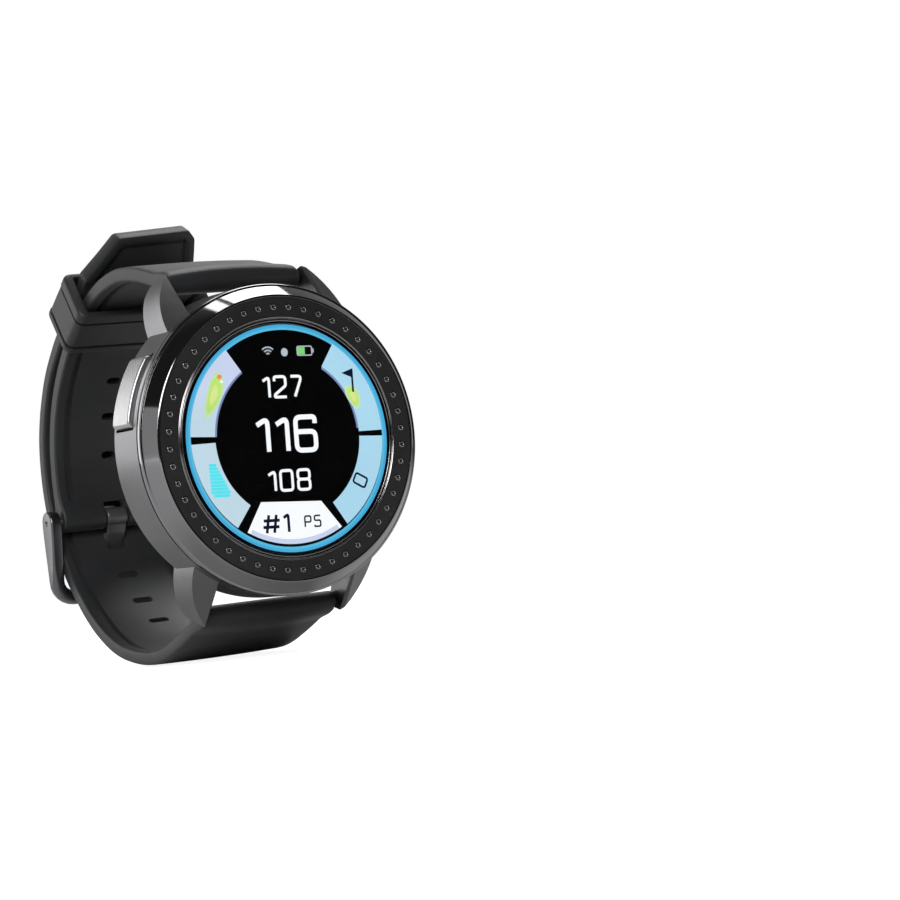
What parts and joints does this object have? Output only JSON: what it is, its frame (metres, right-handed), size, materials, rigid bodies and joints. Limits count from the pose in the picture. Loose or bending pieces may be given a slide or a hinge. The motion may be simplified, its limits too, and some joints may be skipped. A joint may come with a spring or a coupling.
{
  "type": "golf gps watch",
  "caption": "Round golf GPS wrist watch with a dimpled bezel ring, one side button and a closed two-part rubber strap with pin buckle and keeper.",
  "frame": {"origin": "centre of the flat face of the case back, which rests on the wrist", "axes": "-Y out of the dial, +Y out of the case back, +Z towards 12 o'clock, +X towards 3 o'clock"},
  "size_m": [0.0455, 0.0655, 0.0673],
  "materials": {
    "case_metal": "satin gun-metal",
    "bezel_metal": "polished gun-metal",
    "black_insert": "satin black with moulded dimples",
    "steel": "turned",
    "lens_glass": "polished, clear",
    "seal_rubber": "moulded",
    "display_glass": "clear over the cell",
    "diffuser": "matt white",
    "frame_plastic": "moulded",
    "flex_film": "amber film",
    "circuit_board": "solder-masked",
    "tinned_steel": "tinned sheet",
    "brass": "gold-plated",
    "cell_foil": "pouch foil",
    "foam": "closed-cell foam",
    "back_plastic": "moulded, satin",
    "button_metal": "diagonal knurl",
    "strap_rubber": "moulded, matt",
    "buckle_metal": "dark brushed"
  },
  "bodies": {
    "case": {"case_middle": "case_metal", "bezel_ring": "bezel_metal", "bezel_insert": "black_insert", "trim_ring": "steel", "cover_lens": "lens_glass", "lens_gasket": "seal_rubber", "display_panel": "display_glass", "display_backlight": "diffuser", "display_tray": "frame_plastic", "display_flex": "flex_film", "main_board": "circuit_board", "shield_cans": "tinned_steel", "board_screws": "steel", "gps_antenna": "brass", "inner_frame": "frame_plastic", "battery": "cell_foil", "battery_pad": "foam", "charge_board": "circuit_board", "charge_pins": "brass", "case_back": "back_plastic", "case_back_gasket": "seal_rubber", "case_back_screws": "steel", "tact_switch": "tinned_steel", "button_spring": "steel", "spring_bar_upper": "steel", "spring_bar_lower": "steel"},
    "button": {"button_cap": "button_metal", "button_shaft": "steel", "button_seal": "seal_rubber", "button_clip": "steel"},
    "upper_strap": {"strap_upper": "strap_rubber", "buckle_pin": "steel"},
    "lower_strap": {"strap_lower": "strap_rubber"},
    "strap_keeper": {"keeper": "strap_rubber"},
    "buckle": {"buckle_frame": "buckle_metal"},
    "tongue": {"buckle_tongue": "buckle_metal"}
  },
  "joints": [
    {"name": "button_press", "type": "slide", "parent": "case", "child": "button", "axis": [0.9205, 0, -0.3907], "range_m": [0, 0.0006], "stiffness_N_per_m": 3000, "springref_m": -0.0003, "deforming": ["button_spring"]},
    {"name": "upper_strap_hinge", "type": "hinge", "parent": "case", "child": "upper_strap", "pos_m": [0, -0.0018, 0.0243], "axis": [1, 0, 0], "range_deg": [0, 100]},
    {"name": "lower_strap_hinge", "type": "hinge", "parent": "case", "child": "lower_strap", "pos_m": [0, -0.0018, -0.0243], "axis": [-1, 0, 0], "range_deg": [0, 100], "deforming": ["strap_lower"]},
    {"name": "keeper_slide", "type": "hinge", "parent": "upper_strap", "child": "strap_keeper", "pos_m": [0, 0.014, -0.008], "axis": [-1, 0, 0], "range_deg": [0, 18]},
    {"name": "buckle_hinge", "type": "hinge", "parent": "upper_strap", "child": "buckle", "pos_m": [0, 0.0464, -0.0077], "axis": [1, 0, 0], "range_deg": [0, 120]},
    {"name": "tongue_hinge", "type": "hinge", "parent": "buckle", "child": "tongue", "pos_m": [0, 0.0464, -0.0077], "axis": [1, 0, 0], "range_deg": [0, 100]}
  ]
}
